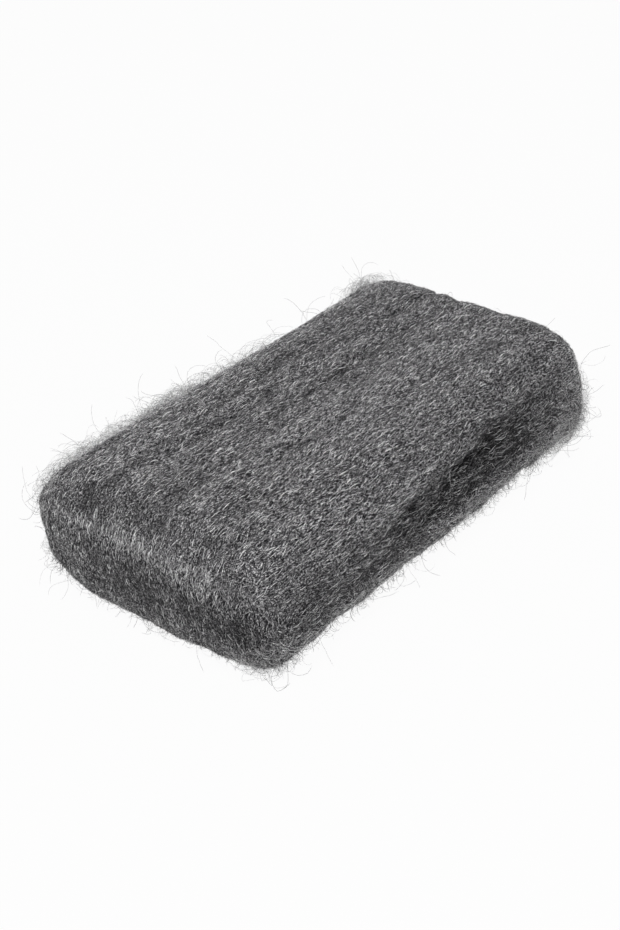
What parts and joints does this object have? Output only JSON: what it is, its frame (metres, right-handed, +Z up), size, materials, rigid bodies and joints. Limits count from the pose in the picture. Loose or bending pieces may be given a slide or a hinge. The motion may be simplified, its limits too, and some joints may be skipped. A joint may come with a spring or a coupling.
{
  "type": "steel wool wire scrubber",
  "caption": "Soft oblong pad of steel wool, a ribbon of fine steel strands rolled flat, with rounded folded ends and layered sides; held in the hand to scrub, scour or polish.",
  "frame": {"origin": "middle of the foot, the flat underside, on the surface that the pad lies on", "axes": "+X along the pad from one folded end to the other, +Y across it from one layered side to the other, +Z up"},
  "size_m": [0.102, 0.057, 0.026],
  "materials": {
    "steel_wool": "matted fine steel strands, dull grey with bright flecks"
  },
  "bodies": {
    "root": {"steel_wool_pad": "steel_wool"}
  },
  "joints": []
}
